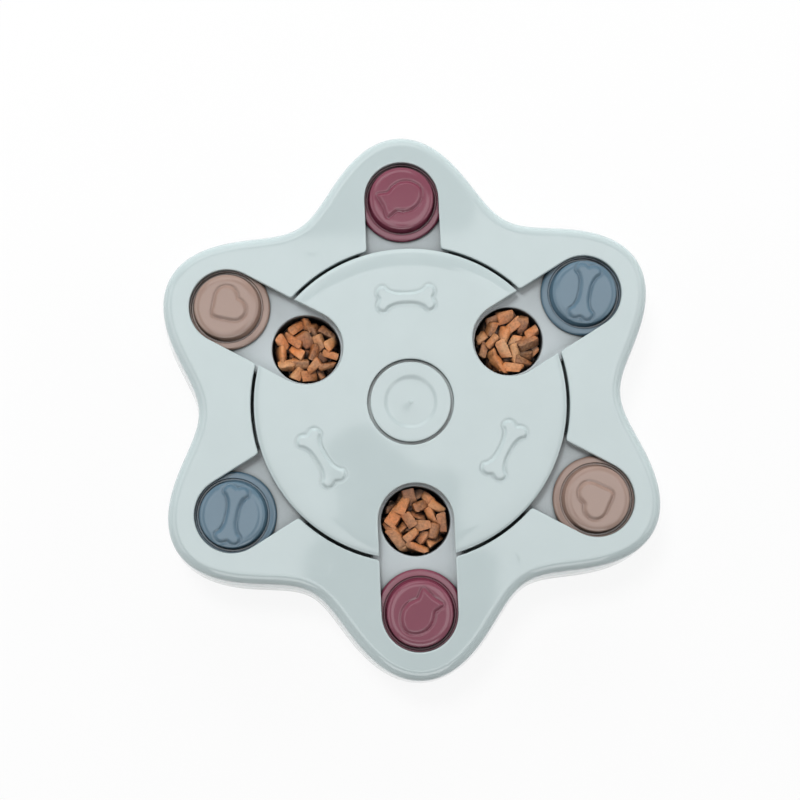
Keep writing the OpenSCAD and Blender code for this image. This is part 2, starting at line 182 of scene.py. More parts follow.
class Moulding:
    """A mesh in the making, in millimetres, grown from rings and chains of vertices."""

    def __init__(self) -> None:
        """Starts with nothing."""
        self.bm = bmesh.new()

    def ring(self, points: Sequence[Pair], z: float) -> Chain:
        """Lays a closed ring of edges.

        Args:
            points: The ring in plan.
            z: Its height.

        Returns:
            The ring's vertices in order.
        """
        made = bmesh.ops.create_circle(self.bm, cap_ends=False, radius=1.0, segments=len(points))
        chain = sorted(made["verts"], key=lambda v: math.atan2(v.co.y, v.co.x))
        for vert, point in zip(chain, points):
            vert.co = (point[0], point[1], z)
        return chain

    def chain(self, points: Sequence[Triple]) -> Chain:
        """Lays an open row of edges through points."""
        made = [self.bm.verts.new(p) for p in points]
        for a, b in zip(made, made[1:]):
            self.bm.edges.new((a, b))
        return made

    def grow(self, chain: Chain, points: Sequence[Triple], closed: bool) -> Chain:
        """Extrudes a ring or row of edges and moves the new one into place.

        Args:
            chain: The vertices to grow from.
            points: Where the new vertices go, one for each old one.
            closed: Whether the last vertex joins the first.

        Returns:
            The new vertices in order.
        """
        ends = chain[1:] + chain[:1] if closed else chain[1:]
        edges = [self.bm.edges.get((a, b)) for a, b in zip(chain, ends)]
        made = bmesh.ops.extrude_edge_only(self.bm, edges=edges)["geom"]
        fresh = {v for v in made if isinstance(v, bmesh.types.BMVert)}
        grown = [next(w for w in (e.other_vert(v) for e in v.link_edges) if w in fresh) for v in chain]
        for vert, point in zip(grown, points):
            vert.co = point
        return grown

    def raised(self, chain: Chain, outline: Ring, steps: Sequence[Pair]) -> Chain:
        """Grows a ring through several levels, each a distance outwards and a height."""
        for out, z in steps:
            chain = self.grow(chain, [(x, y, z) for x, y in outline(out)], True)
        return chain

    def lathe(self, profile: Sequence[Pair], segments: int) -> None:
        """Spins a profile round the upright axis.

        Args:
            profile: Pairs of radius and height.
            segments: How many steps the full turn has.
        """
        row = self.chain([(r, 0.0, z) for r, z in profile])
        edges = [self.bm.edges.get((a, b)) for a, b in zip(row, row[1:])]
        bmesh.ops.spin(
            self.bm, geom=row + edges, cent=(0, 0, 0), axis=(0, 0, 1), dvec=(0, 0, 0),
            angle=math.tau, steps=segments, use_merge=True, use_duplicate=False,
        )
        self.merge()

    def merge(self) -> None:
        """Joins vertices that lie at one place."""
        bmesh.ops.remove_doubles(self.bm, verts=self.bm.verts[:], dist=0.002)

    def patch(self, half: Pair, step: float, place: Matrix, relief: Relief) -> None:
        """Lays a grid with a relief, whose straight border joins a flat top.

        Args:
            half: Half of its length and of its width.
            step: The size of a cell.
            place: Where its middle goes.
            relief: Gives the heights at places in the patch's own frame.
        """
        cells = [round(2 * h / step) for h in half]
        stretch = Matrix.Diagonal((half[0], half[1], 1.0, 1.0))
        verts = bmesh.ops.create_grid(
            self.bm, x_segments=cells[0], y_segments=cells[1], size=1.0, matrix=stretch
        )["verts"]
        heights = relief(np.array([v.co.xy[:] for v in verts]))
        for vert, height in zip(verts, heights):
            vert.co.z = float(height)
        bmesh.ops.transform(self.bm, matrix=place, verts=verts)

    def emboss(self, low: float, radius: float, relief: Relief) -> None:
        """Raises a relief out of a round top, on the vertices above a height and within a radius."""
        verts = [v for v in self.bm.verts if v.co.z > low and v.co.xy.length < radius]
        for vert, height in zip(verts, relief(np.array([v.co.xy[:] for v in verts]))):
            vert.co.z += float(height)

    def fill_level(self, z: float) -> None:
        """Closes the mesh with flat faces between all open edges at one height."""
        open_edges = [
            e for e in self.bm.edges
            if len(e.link_faces) < 2 and all(abs(v.co.z - z) < 0.001 for v in e.verts)
        ]
        bmesh.ops.triangle_fill(
            self.bm, use_beauty=True, use_dissolve=False, edges=open_edges, normal=(0, 0, 1)
        )

    def move(self, matrix: Matrix) -> None:
        """Turns and moves the whole mesh, in millimetres."""
        bmesh.ops.transform(self.bm, matrix=matrix, verts=self.bm.verts[:])

    def piece(self, name: str, crease: float = 38.0) -> bpy.types.Object:
        """Makes the finished object, in metres and at the origin.

        Args:
            name: The object's name.
            crease: Edges sharper than this angle, in degrees, stay sharp.

        Returns:
            The object.
        """
        self.merge()
        bmesh.ops.recalc_face_normals(self.bm, faces=self.bm.faces[:])
        bmesh.ops.scale(self.bm, vec=(MM, MM, MM), verts=self.bm.verts[:])
        return linked(name, self.bm, crease)


class Nodes:
    """Builds a node tree."""

    def __init__(self, tree: bpy.types.NodeTree) -> None:
        """Takes the tree to build in."""
        self.tree = tree

    def add(self, kind: str, **settings: object) -> bpy.types.Node:
        """Adds a node.

        Args:
            kind: The node's type, without its prefix.
            **settings: Properties of the node.

        Returns:
            The node.
        """
        node = self.tree.nodes.new("ShaderNode" + kind)
        for key, value in settings.items():
            setattr(node, key, value)
        return node

    def feed(self, part: object, into: Socket) -> None:
        """Links a socket to an input, or sets the input to a constant."""
        if isinstance(part, Socket):
            self.tree.links.new(part, into)
        else:
            into.default_value = part

    def calculate(self, kind: str, operation: str, *parts: object, out: int | str = 0) -> Socket:
        """Adds a Math or a Vector Math node.

        Args:
            kind: Math or VectorMath.
            operation: What it works out.
            *parts: Its inputs in order, each a socket or a constant.
            out: Which output is wanted.

        Returns:
            The result.
        """
        node = self.add(kind, operation=operation)
        for part, into in zip(parts, node.inputs):
            self.feed(part, into)
        return node.outputs[out]

    def spread(
        self, value: Socket, low: float, high: float, start: float = 0.3, end: float = 0.7, **settings: str
    ) -> Socket:
        """Maps a range of a value, by default the middle of a pattern, to another.

        Args:
            value: The value.
            low: What the start of the range becomes.
            high: What the end of the range becomes.
            start: The start of the range.
            end: The end of the range.
            **settings: Properties of the node.

        Returns:
            The mapped value.
        """
        node = self.add("MapRange", **settings)
        for part, into in zip((value, start, end, low, high), node.inputs):
            self.feed(part, into)
        return node.outputs["Result"]

    def tint(self, value: Socket, dark: Triple | Socket, light: Triple | Socket) -> Socket:
        """Mixes two colours by a pattern.

        Args:
            value: The pattern, from 0 to 1.
            dark: The colour at 0.
            light: The colour at 1.

        Returns:
            The mixed colour.
        """
        node = self.add("Mix", data_type="RGBA")
        self.feed(value, node.inputs[0])
        for colour, into in ((dark, node.inputs[6]), (light, node.inputs[7])):
            self.feed(colour if isinstance(colour, Socket) else linear(colour), into)
        return node.outputs[2]

    def backdrop(self) -> Socket:
        """Tells the rays that look at the background: from the camera, off gloss and through glass."""
        path = self.add("LightPath").outputs
        seen = self.calculate("Math", "MAXIMUM", path["Is Camera Ray"], path["Is Glossy Ray"])
        return self.calculate("Math", "MAXIMUM", seen, path["Is Transmission Ray"])


class SurfaceNodes(Nodes):
    """Builds the node tree of one material on a piece."""

    def __init__(self, name: str) -> None:
        """Starts a material with one shader and the object's own coordinates."""
        self.material = bpy.data.materials.new(name)
        self.material.use_nodes = True
        super().__init__(self.material.node_tree)
        self.shader = self.tree.nodes["Principled BSDF"]
        self.place = self.add("TexCoord").outputs["Object"]

    def set(self, **parts: object) -> None:
        """Feeds the shader's inputs, named with underscores for spaces."""
        for name, part in parts.items():
            self.feed(part, self.shader.inputs[name.replace("_", " ")])

    def noise(self, wavelength: float, detail: float = 2.0, rough: float = 0.5) -> Socket:
        """Adds a noise pattern.

        Args:
            wavelength: The size of its features, in metres.
            detail: How many octaves it has.
            rough: The share of each finer octave.

        Returns:
            The pattern's value.
        """
        node = self.add("TexNoise")
        self.feed(self.place, node.inputs["Vector"])
        for name, number in (("Scale", 1.0 / wavelength), ("Detail", detail), ("Roughness", rough)):
            node.inputs[name].default_value = number
        return node.outputs["Fac"]

    def painted_shade_mask(self, reach: float, low: float, high: float) -> Socket:
        """Measures how open a place is, as a mask for painting shade into the colour where walls close it
        in.

        Args:
            reach: How far away a wall still closes the place in, in metres.
            low: The open share of the view that becomes 0.
            high: The open share of the view that becomes 1.

        Returns:
            The mask for painted shade, 0 deep in a gap and 1 in the open.
        """
        seen = self.add("AmbientOcclusion", samples=6)
        seen.inputs["Distance"].default_value = reach
        return self.spread(seen.outputs["AO"], 0.0, 1.0, low, high)

    def bump(self, height: Socket, depth: float, under: Socket | None = None) -> Socket:
        """Adds a bump.

        Args:
            height: The pattern.
            depth: The height of a full step of the pattern, in metres.
            under: Another bump that this one lies on.

        Returns:
            The normal.
        """
        node = self.add("Bump")
        node.inputs["Strength"].default_value = 1.0
        node.inputs["Distance"].default_value = depth
        self.feed(height, node.inputs["Height"])
        if under is not None:
            self.feed(under, node.inputs["Normal"])
        return node.outputs["Normal"]


@dataclass(frozen=True)
class MouldedPlastic:
    """Injection-moulded plastic: slightly wavy, faintly mottled, with a fine mould grain, and painted shade
    darkening its recesses.
    """

    name: str
    colour: Triple
    roughness: float = 0.06
    gloss: float = 0.45
    mottle: float = 1.5
    wave_height: float = 0.00004
    wave_length: float = 0.034
    grain_height: float = 0.0000008
    grain_length: float = 0.0011
    # Painted shade: these four settings darken the colour in recesses and gaps, where light falls less.
    painted_shade_reach: float = 0.004
    painted_shade_low: float = 0.25
    painted_shade_high: float = 0.8
    painted_recess_shade: float = 0.7
    wear: float = 0.01
    sink_depth: float = 0.0
    sink_ring: float = 0.0822
    sink_size: float = 0.0042
    cloud_length: float = 0.021
    scuff_length: float = 0.006

    def sink_marks(self, nodes: SurfaceNodes, under: Socket) -> Socket:
        """Presses six faint sink marks into the surface, over the screw posts.

        Args:
            nodes: The material's nodes.
            under: The bump that they lie on.

        Returns:
            The normal.
        """
        furthest = None
        for k in range(3):
            way = (math.cos(k * math.pi / 3), math.sin(k * math.pi / 3), 0.0)
            along = nodes.calculate("VectorMath", "DOT_PRODUCT", nodes.place, way, out="Value")
            along = nodes.calculate("Math", "ABSOLUTE", along)
            furthest = nodes.calculate("Math", "MAXIMUM", furthest, along) if furthest else along
        flat = nodes.calculate("VectorMath", "MULTIPLY", nodes.place, (1.0, 1.0, 0.0))
        square = nodes.calculate("VectorMath", "DOT_PRODUCT", flat, flat, out="Value")
        twice = nodes.calculate("Math", "MULTIPLY", furthest, -2.0 * self.sink_ring)
        centre = -self.sink_ring**2
        away = nodes.spread(
            nodes.calculate("Math", "ADD", square, twice), 0.0, 1.0, centre, centre + self.sink_size**2,
            interpolation_type="SMOOTHERSTEP",
        )
        return nodes.bump(away, self.sink_depth, under)

    def material(self) -> bpy.types.Material:
        """Builds the material.

        Returns:
            The material.
        """
        nodes = SurfaceNodes(self.name)
        dark, light = (tuple(c + change for c in self.colour) for change in (-self.mottle, self.mottle))
        cloud = nodes.spread(nodes.noise(self.cloud_length, 3.0, 0.55), 0.0, 1.0)
        # Painted shade: the colour is darkened towards a shaded copy where walls close a place in.
        painted_shade_colour = tuple(c * self.painted_recess_shade for c in self.colour)
        painted_shade_open = nodes.painted_shade_mask(self.painted_shade_reach, self.painted_shade_low, self.painted_shade_high)
        waves = nodes.bump(nodes.noise(self.wave_length, 1.0, 0.4), self.wave_height)
        grain = nodes.bump(nodes.noise(self.grain_length, 2.0, 0.5), self.grain_height, waves)
        scuffs = nodes.noise(self.scuff_length, 4.0, 0.6)
        nodes.set(
            Base_Color=nodes.tint(painted_shade_open, painted_shade_colour, nodes.tint(cloud, dark, light)),
            Roughness=nodes.spread(scuffs, self.roughness - self.wear, self.roughness + self.wear),
            Normal=self.sink_marks(nodes, grain) if self.sink_depth else grain,
            IOR=1.5,
            Specular_IOR_Level=self.gloss,
        )
        return nodes.material


@dataclass(frozen=True)
class SoftRubber:
    """Dark, dull rubber with a fine pebbled skin."""

    name: str
    colour: Triple
    shades: Pair = (0.86, 1.12)
    roughness: Pair = (0.58, 0.72)
    dust_length: float = 0.004
    skin_length: float = 0.0006
    skin_height: float = 0.00003

    def material(self) -> bpy.types.Material:
        """Builds the material.

        Returns:
            The material.
        """
        nodes = SurfaceNodes(self.name)
        dark, light = (tuple(c * share for c in self.colour) for share in self.shades)
        dust = nodes.spread(nodes.noise(self.dust_length, 4.0, 0.6), 0.0, 1.0)
        nodes.set(
            Base_Color=nodes.tint(dust, dark, light), Roughness=nodes.spread(dust, *self.roughness),
            Normal=nodes.bump(nodes.noise(self.skin_length, 3.0), self.skin_height),
        )
        return nodes.material


@dataclass(frozen=True)
class PlatedSteel:
    """Bright plated steel with turning marks."""

    name: str
    colour: Triple
    dull_shade: float = 0.9
    roughness: Pair = (0.24, 0.4)
    patina_length: float = 0.0015
    mark_length: float = 0.0004
    mark_height: float = 0.000008

    def material(self) -> bpy.types.Material:
        """Builds the material.

        Returns:
            The material.
        """
        nodes = SurfaceNodes(self.name)
        dark = tuple(c * self.dull_shade for c in self.colour)
        patina = nodes.spread(nodes.noise(self.patina_length, 3.0, 0.6), 0.0, 1.0)
        nodes.set(
            Metallic=1.0, Base_Color=nodes.tint(patina, dark, self.colour),
            Roughness=nodes.spread(patina, *self.roughness),
            Normal=nodes.bump(nodes.noise(self.mark_length, 2.0), self.mark_height),
        )
        return nodes.material


@dataclass(frozen=True)
class BakedKibble:
    """Dry baked dog food: each piece its own brown, with a crumbly, pitted crust and painted shade in the
    gaps between pieces.
    """

    name: str
    dark: Triple
    light: Triple
    tan: Triple
    # Painted shade in the gaps between pieces: how dark it gets and how far it reaches.
    painted_gap_shade: float = 0.3
    painted_gap_reach: float = 0.004
    crumb_length: float = 0.0016
    crust_length: float = 0.009
    pit_length: float = 0.0022
    pit_depth: float = 0.0006
    grain_length: float = 0.0007
    grain_depth: float = 0.00018

    def material(self) -> bpy.types.Material:
        """Builds the material.

        Returns:
            The material.
        """
        nodes = SurfaceNodes(self.name)
        own = nodes.add("Attribute", attribute_name=SHADE).outputs["Fac"]
        crumbs = nodes.spread(nodes.noise(self.crumb_length, 5.0, 0.7), -0.3, 0.3)
        baked = nodes.spread(nodes.calculate("Math", "ADD", own, crumbs), 0.0, 1.0, 0.0, 1.0)
        patches = nodes.spread(nodes.noise(self.crust_length, 1.0), 0.0, 1.0)
        colour = nodes.tint(baked, self.dark, nodes.tint(patches, self.light, self.tan))
        # Painted shade: the colour darkens to this where pieces close a place in.
        gap = tuple(c * self.painted_gap_shade for c in self.dark)
        pits = nodes.bump(nodes.noise(self.pit_length, 4.0, 0.7), self.pit_depth)
        nodes.set(
            Base_Color=nodes.tint(nodes.painted_shade_mask(self.painted_gap_reach, 0.25, 0.75), gap, colour),
            Normal=nodes.bump(nodes.noise(self.grain_length, 3.0, 0.6), self.grain_depth, pits),
            Roughness=0.5, Specular_IOR_Level=0.5,
        )
        return nodes.material


class FigureKind(Enum):
    """The raised figures of the toy."""

    BONE = "bone"
    HEART = "heart"
    FISH = "fish"


@dataclass(frozen=True)
class Figure:
    """A raised figure with soft edges and a shallow moat round it, its length along X."""

    kind: FigureKind
    length: float
    width: float
    height: float = 0.8
    slope: float = 0.95
    moat_width: float = 1.3
    moat_depth: float = 0.26
    tail_length: float = 6.25
    tail_width: float = 11.75

    def bone(self) -> list[Pair]:
        """Draws a bone: four round ends and a waisted shaft."""
        end = self.width / 4
        spread = self.width / 2 - end
        reach = self.length / 2 - end
        waist = 0.75 * spread
        lobe = arc((reach, spread), end, -60, 3, 60)
        upper = list(lobe)
        for k in range(1, 60):
            share = 1 - k / 30
            if abs(share) * reach < reach - end / 3:
                upper.append((share * reach, waist + (spread + end - waist) * abs(share) ** 3))
        upper += [(-x, y) for x, y in reversed(lobe)]
        return upper + [(-x, -y) for x, y in upper]

    def heart(self) -> list[Pair]:
        """Draws a heart with its blunt point along -X: a square on its corner with two round lobes."""
        side = self.width / (1 + math.sqrt(0.5))
        lobe, blunt = side / 2, side * 0.2
        centre = lobe * math.sqrt(0.5)
        half = arc((centre, centre), lobe, -45, 3, 60)
        half += arc(((blunt - lobe) * math.sqrt(2), 0.0), blunt, 135, 5, 9)
        half = [(x - 0.11 * side, y) for x, y in half]
        return half + [(x, -y) for x, y in reversed(half[1:-1])]

    def fish(self) -> list[Pair]:
        """Draws a plain fish with its head along +X: a lens-shaped body and a two-pointed tail."""
        half, wide = self.length / 2, self.width / 2
        bow = (half * half + wide * wide) / (2 * wide)
        root = -half * 0.72
        upper: list[Pair] = []
        for k in range(80):
            x = half + (root - half) * k / 79
            upper.append((x, math.sqrt(bow * bow - x * x) - bow + wide))
        tip = (-half - self.tail_length / 2, self.tail_width / 2)
        fork = (-half - self.tail_length / 2 * 0.75, 0.0)
        tail = between(upper[-1], tip, 20) + between(tip, fork, 20)
        half_line = [(x + self.tail_length / 4, y) for x, y in upper + tail]
        return half_line[:-1] + [(x, -y) for x, y in reversed(half_line[1:])]

    def outline(self) -> Outline:
        """Gives the figure's outline, with its corners softened a little."""
        draw = {FigureKind.BONE: self.bone, FigureKind.HEART: self.heart, FigureKind.FISH: self.fish}
        return Outline(draw[self.kind]()).resampled(0.4).softened(2, 2)

    def relief(self, places: np.ndarray, turn: float = 0.0) -> np.ndarray:
        """Gives the figure's height over the top that it stands on.

        Args:
            places: The places in plan.
            turn: How far the figure is turned, in degrees.

        Returns:
            The heights, below zero in the moat.
        """
        ring = self.outline().turned(turn).points
        run = np.roll(ring, -1, axis=0) - ring
        away = places[:, None, :] - ring[None, :, :]
        share = np.clip((away * run).sum(2) / (run * run).sum(1), 0.0, 1.0)
        far = np.linalg.norm(away - share[:, :, None] * run, axis=2).min(1)
        rises = (ring[:, 1] > places[:, 1:]) != (np.roll(ring[:, 1], -1) > places[:, 1:])
        climb = np.where(run[:, 1] == 0, 1.0, run[:, 1])
        left = places[:, :1] < ring[:, 0] + run[:, 0] * (places[:, 1:] - ring[:, 1]) / climb
        far = np.where((rises & left).sum(1) % 2 == 1, -far, far)
        top, half, deep = self.height, self.slope, self.moat_depth
        steps = [
            (-1.3 * half, top), (-1.05 * half, 0.98 * top), (-0.75 * half, 0.85 * top),
            (-0.4 * half, 0.52 * top), (-0.1 * half, 0.14 * top),
            (0.2, -0.5 * deep), (0.35 * self.moat_width, -deep),
            (0.6 * self.moat_width, -0.8 * deep), (0.85 * self.moat_width, -0.25 * deep),
            (1.1 * self.moat_width, 0.0),
        ]
        return np.interp(far, [s[0] for s in steps], [s[1] for s in steps])


@dataclass
class CoverShell:
    """The upper moulding: a lobed shell with a round opening, six slots and six screw posts."""

    mean_radius: float = 108.0
    lobe_rise: float = 13.8
    top: float = 28.5
    bottom: float = 2.0
    thickness: float = 2.5
    shoulder: float = 5.0
    draft: float = 8.4
    hole_radius: float = 70.7
    slot_half: float = 16.7
    slot_end: float = 92.5
    lip: float = 0.6
    post_ring: float = 82.2
    post_radius: float = 3.6
    post_end: float = 10.5
    pilot_radius: float = 1.5
    pilot_depth: float = 12.0
    steps: int = 360

    def plan(self, out: float) -> list[Pair]:
        """Gives the lobed outline, moved outwards.

        Args:
            out: How far outwards.

        Returns:
            The outline's points.
        """
        points = []
        for k in range(self.steps):
            a = math.tau * k / self.steps
            wave = 6 * (a - math.pi / 2)
            r = self.mean_radius + self.lobe_rise * math.cos(wave)
            s = -self.lobe_rise * 6 * math.sin(wave)
            n = math.hypot(r, s)
            along, across = r + (out - 0.02) * r / n, (out - 0.02) * s / n
            points.append((
                along * math.cos(a) + across * math.sin(a),
                along * math.sin(a) - across * math.cos(a),
            ))
        return points

    def side(self, inset: float, low: float, steps: int) -> list[Pair]:
        """Gives the profile of the side, from the skirt up to the flat top.

        Args:
            inset: The distance inside the outer skin.
            low: The height that it starts at.
            steps: How many steps the shoulder has.

        Returns:
            Pairs of distance outwards and height.
        """
        start = math.radians(self.draft)
        turn = [start + (math.pi / 2 - start) * k / steps for k in range(steps + 1)]
        r, under = self.shoulder - inset, self.top - self.shoulder
        bend = [(r * math.cos(a) - self.shoulder, under + r * math.sin(a)) for a in turn]
        slope = math.tan(start)
        levels = [low, (low + bend[0][1]) / 2]
        return [(bend[0][0] + (bend[0][1] - z) * slope, z) for z in levels] + bend

    def opening(self) -> Outline:
        """Gives the outline of the round opening with its six slots.

        Returns:
            The outline, with its corners softened.
        """
        points: list[Pair] = []
        mouth = math.degrees(math.asin(self.slot_half / self.hole_radius))
        for direction in sorted(LOBE_DIRECTIONS):
            points += [turned(p, direction) for p in arc((self.slot_end, 0.0), self.slot_half, -90, 3, 60)]
            points += arc((0.0, 0.0), self.hole_radius, direction + mouth, (60 - 2 * mouth) / 40, 40)
        return Outline(points).resampled(0.6).softened(1, 3)

    def build(self) -> bpy.types.Object:
        """Builds the shell.

        Returns:
            The object.
        """
        work = Moulding()
        under = self.top - self.thickness
        inner = self.side(self.thickness, self.bottom, 6)
        outer = self.side(0.0, self.bottom, 12)
        edge = 0.5
        rim = [
            (inner[0][0], self.bottom + edge), (inner[0][0] + edge, self.bottom),
            (outer[0][0] - edge, self.bottom), (outer[0][0] - edge * 0.3, self.bottom + edge * 0.3),
            (outer[0][0], self.bottom + edge),
        ]
        levels = list(reversed(inner[1:])) + rim + outer[1:] + [(-self.shoulder - 0.4, self.top)]
        start = work.ring(self.plan(levels[0][0]), levels[0][1])
        work.raised(start, self.plan, levels[1:])
        opening = self.opening()
        lip = corner((self.lip, self.top - self.lip), (-self.lip, self.lip), 6)
        mouth = work.ring(opening.offset(0.0), under)
        work.raised(mouth, opening.offset, lip + [(self.lip + 0.35, self.top)])
        circle = [turned((1.0, 0.0), 10.0 * k) for k in range(36)]
        roof = self.post_end + self.pilot_depth
        for k in range(6):
            x, y = turned((self.post_ring, 0.0), 60.0 * k)
            post, pilot = (
                [(x + radius * px, y + radius * py) for px, py in circle]
                for radius in (self.post_radius, self.pilot_radius)
            )
            foot = work.grow(work.ring(post, under), [(*p, self.post_end) for p in post], True)
            bore = work.grow(foot, [(*p, self.post_end) for p in pilot], True)
            work.grow(bore, [(*p, roof) for p in pilot], True)
        for z in (self.top, under, roof):
            work.fill_level(z)
        made = work.piece("cover_shell")
        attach(made, "housing")
        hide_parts("top_cover")
        return made


@dataclass
class TurningDisc:
    """The turntable: a crowned disc with three notches and three raised bones."""

    radius: float = 69.3
    edge: float = 28.6
    top: float = 29.7
    bottom: float = 25.8
    slope: float = 9.0
    notch_half: float = 16.7
    notch_end: float = 52.5
    lip: float = 0.55
    lip_fall: float = 0.75
    hold: float = 1.1
    recess_radius: float = 19.1
    recess_floor: float = 27.3
    bore: float = 15.06
    bone_radius: float = 46.5
    bone: Figure = Figure(FigureKind.BONE, 26.0, 11.4)
    bone_patch: Pair = (15.0, 7.6)
    patch_step: float = 0.3
    bend_steps: int = 48
    rim_steps: int = 72

    def rim_rows(self) -> list[tuple[float, float, float]]:
        """Gives the rows that run round the rim, from the wall's foot to the crown.

        Returns:
            For each row its radius, the height of the slope there and how far it drops below that.
        """
        fall = self.lip * self.lip_fall
        rows = [(self.radius, self.edge - self.bottom), (self.radius, fall)]
        rows += corner((self.radius - self.lip, fall), (self.lip, -fall), 4)[1:]
        inward = [self.radius - self.slope * (1 - math.cos(a)) for a in quarter(9)]
        rows += [(r, 0.0) for r in inward if r < self.radius - self.hold]
        rows.append((self.radius - self.slope - self.hold, 0.0))
        return [(r, self.height(r), drop) for r, drop in rows]

    def height(self, r: float) -> float:
        """Gives the height of the top at a radius."""
        share = max(0.0, min(1.0, (self.radius - r) / self.slope))
        return self.edge + (self.top - self.edge) * math.sqrt(1 - (1 - share) ** 2)

    def notch_rows(self) -> list[Pair]:
        """Gives the distance from the notch's side and the drop of each row along a notch."""
        rows = corner((self.lip, self.lip), (-self.lip, -self.lip), 5)
        return [(0.0, -1.0)] + rows + [(self.hold, 0.0)]

    def notch(self, work: Moulding, direction: float) -> None:
        """Lays the wall and the lip of one notch.

        Args:
            work: The mesh.
            direction: Where the notch points.
        """

        def across(height: float, drop: float, place: Callable[[float], Pair]) -> list[Triple]:
            """Gives one row of points across the lip, placed by their distance from the middle line."""
            points = []
            for out, down in self.notch_rows():
                x, y = turned(place(self.notch_half + out), direction)
                z = self.bottom if down < 0 else max(self.bottom, height - drop - down)
                points.append((x, y, z))
            return points

        rim = self.rim_rows()
        end, steps = self.notch_end, self.bend_steps
        bend = [math.radians(90 + 180 * k / steps) for k in range(steps + 1)]
        rows = [across(z, drop, lambda w: (math.sqrt(r * r - w * w), w)) for r, z, drop in rim]
        rows += [across(self.top, 0.0, lambda w: (end + w * math.cos(a), w * math.sin(a))) for a in bend]
        rows += [across(z, drop, lambda w: (math.sqrt(r * r - w * w), -w)) for r, z, drop in rim[::-1]]
        row = work.chain(rows[0])
        for points in rows[1:]:
            row = work.grow(row, points, False)

    def sector(self, work: Moulding, low: float, high: float) -> None:
        """Lays the rim between two notches.

        Args:
            work: The mesh.
            low: The direction of the notch before it.
            high: The direction of the notch after it.
        """
        rim = self.rim_rows()
        reach = self.notch_half + self.hold
        row: Chain = []
        for k in range(self.rim_steps + 1):
            points = []
            for r, height, drop in rim:
                mouth = math.degrees(math.asin(reach / r))
                a = low + mouth + (high - low - 2 * mouth) * k / self.rim_steps
                x, y = turned((r, 0.0), a)
                points.append((x, y, height - drop))
            row = work.chain(points) if k == 0 else work.grow(row, points, False)

    def build(self) -> bpy.types.Object:
        """Builds the disc.

        Returns:
            The object.
        """
        work = Moulding()
        for direction in NOTCH_DIRECTIONS:
            self.notch(work, direction)
            self.sector(work, direction, direction + 120.0)
        inner = [(self.recess_radius + self.hold, self.top)]
        inner += corner(
            (self.recess_radius + self.lip, self.top - self.lip), (-self.lip, self.lip), 5
        )[::-1]
        inner += [
            (self.recess_radius, self.recess_floor + 0.1), (self.recess_radius - 0.1, self.recess_floor),
            (self.bore + 0.3, self.recess_floor),
            (self.bore, self.recess_floor - 0.3), (self.bore, self.bottom),
        ]
        work.lathe(inner, 120)
        for direction in NOTCH_DIRECTIONS:
            place = turned((-self.bone_radius, 0.0), direction)
            turn = Matrix.Rotation(math.radians(direction + 90), 4, "Z")
            middle = Matrix.Translation((place[0], place[1], self.top)) @ turn
            work.patch(self.bone_patch, self.patch_step, middle, self.bone.relief)
        work.merge()
        for z in (self.top, self.bottom):
            work.fill_level(z)
        made = work.piece("turning_disc")
        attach(made, "turntable")
        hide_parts("turntable")
        return made


@dataclass
class Knob:
    """A slider: a hollow round knob on a wide flange, with a raised figure on top."""

    node: str
    direction: float
    figure: Figure
    figure_turn: float
    slot: str
    station: float = 92.5
    low: float = 23.6
    flange_top: float = 25.4
    flange_radius: float = 19.1
    root_radius: float = 15.1
    radius: float = 14.4
    top: float = 29.3
    rim_width: float = 3.4
    rim_height: float = 1.3
    flange_edge: float = 0.45
    shoulder: float = 17.9
    shoulder_drop: float = 0.12
    groove_width: float = 1.0
    groove_depth: float = 1.0
    wall: float = 1.6
    grid_step: float = 0.3

    def profile(self) -> list[Pair]:
        """Gives half of the section, from the cavity's roof round the flange to the flat top.

        Returns:
            Pairs of radius and height.
        """
        rows = [
            (self.radius - self.wall - 0.3, self.top - self.wall),
            (self.radius - self.wall, self.top - self.wall - 0.3),
            (self.root_radius - self.wall, self.low + 0.2), (self.root_radius - self.wall + 0.2, self.low),
        ]
        edge = self.flange_edge
        rows += corner((self.flange_radius - edge, self.low + edge), (edge, -edge), 4)[::-1]
        turn = self.flange_radius - self.shoulder
        rows += corner((self.shoulder, self.flange_top - self.shoulder_drop - turn), (turn, turn), 5)
        shore = self.root_radius + self.groove_width
        for k in range(1, 7):
            share = k / 6
            r = self.shoulder + (shore + 0.25 - self.shoulder) * share
            rows.append((r, self.flange_top - self.shoulder_drop * (1 - share) ** 1.1))
        bed = self.flange_top - self.groove_depth
        rows += [
            (shore + 0.07, self.flange_top - 0.07), (shore, self.flange_top - 0.25), (shore, bed + 0.2),
            (shore - 0.2, bed), (self.root_radius + 0.2, bed), (self.root_radius, bed + 0.2),
        ]
        flat = self.radius - self.rim_width
        rows += corner((flat, self.top - self.rim_height), (self.rim_width, self.rim_height), 16)
        rings = round(flat / self.grid_step)
        return rows + [(flat * (1 - k / rings), self.top) for k in range(1, rings + 1)]

    def build(self) -> bpy.types.Object:
        """Builds the slider at its outer place.

        Returns:
            The object.
        """
        work = Moulding()
        work.lathe(self.profile(), 288)
        work.emboss(
            self.top - self.rim_height / 2, self.radius,
            lambda places: self.figure.relief(places, self.figure_turn),
        )
        work.fill_level(self.top - self.wall)
        work.move(moved_to(self.station, self.direction))
        made = work.piece(self.node.replace("slider_", "knob_"))
        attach(made, self.node)
        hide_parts(self.node)
        return made


